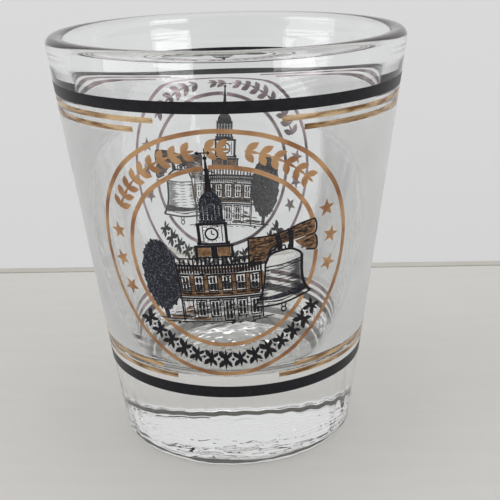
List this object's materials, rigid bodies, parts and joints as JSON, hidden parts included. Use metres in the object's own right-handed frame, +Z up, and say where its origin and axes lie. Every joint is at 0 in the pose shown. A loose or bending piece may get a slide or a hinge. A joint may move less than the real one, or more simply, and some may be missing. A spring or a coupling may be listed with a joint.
{
  "type": "shot glass",
  "caption": "Tapered clear shot glass with a thick base, frosted sides, black and gold bands, and a round picture medallion on the front and the back.",
  "frame": {"origin": "middle of the base, on the surface the glass stands on", "axes": "+Z up the glass's axis towards the rim; the front medallion faces -Y"},
  "size_m": [0.0506, 0.0506, 0.06],
  "materials": {
    "clear_glass": "polished, fire-smooth moulded glass with a thick base",
    "frost_enamel": "satin white frost, translucent",
    "black_enamel": "glossy fired black enamel",
    "gold_print": "thin fired gold lustre, satin",
    "copper_print": "thin fired copper-gold lustre, satin",
    "brown_print": "fired brown enamel with black line work"
  },
  "bodies": {
    "root": {"front_belfry": "black_enamel", "front_bell": "black_enamel", "front_clapper": "black_enamel", "front_clock_stage": "black_enamel", "front_hall": "black_enamel", "front_inner_ring_1": "copper_print", "front_inner_ring_2": "copper_print", "front_inner_ring_3": "copper_print", "front_lower_frieze": "black_enamel", "front_outer_ring": "copper_print", "front_spire": "black_enamel", "front_star_1": "copper_print", "front_star_2": "copper_print", "front_star_3": "copper_print", "front_star_4": "copper_print", "front_star_5": "copper_print", "front_star_6": "copper_print", "front_tower": "black_enamel", "front_tree": "black_enamel", "front_upper_frieze_1": "copper_print", "front_upper_frieze_2": "copper_print", "front_upper_frieze_3": "copper_print", "front_yoke": "brown_print", "frost_left": "frost_enamel", "frost_right": "frost_enamel", "glass_body": "clear_glass", "lower_black_band": "black_enamel", "lower_gold_line_1_left": "gold_print", "lower_gold_line_1_right": "gold_print", "lower_gold_line_2_left": "gold_print", "lower_gold_line_2_right": "gold_print", "rear_belfry": "black_enamel", "rear_bell": "black_enamel", "rear_clapper": "black_enamel", "rear_clock_stage": "black_enamel", "rear_hall": "black_enamel", "rear_inner_ring_1": "copper_print", "rear_inner_ring_2": "copper_print", "rear_inner_ring_3": "copper_print", "rear_lower_frieze": "black_enamel", "rear_outer_ring": "copper_print", "rear_spire": "black_enamel", "rear_star_1": "copper_print", "rear_star_2": "copper_print", "rear_star_3": "copper_print", "rear_star_4": "copper_print", "rear_star_5": "copper_print", "rear_star_6": "copper_print", "rear_tower": "black_enamel", "rear_tree": "black_enamel", "rear_upper_frieze_1": "copper_print", "rear_upper_frieze_2": "copper_print", "rear_upper_frieze_3": "copper_print", "rear_yoke": "brown_print", "upper_black_band": "black_enamel", "upper_gold_line_1_left": "gold_print", "upper_gold_line_1_right": "gold_print", "upper_gold_line_2_left": "gold_print", "upper_gold_line_2_right": "gold_print"}
  },
  "joints": []
}
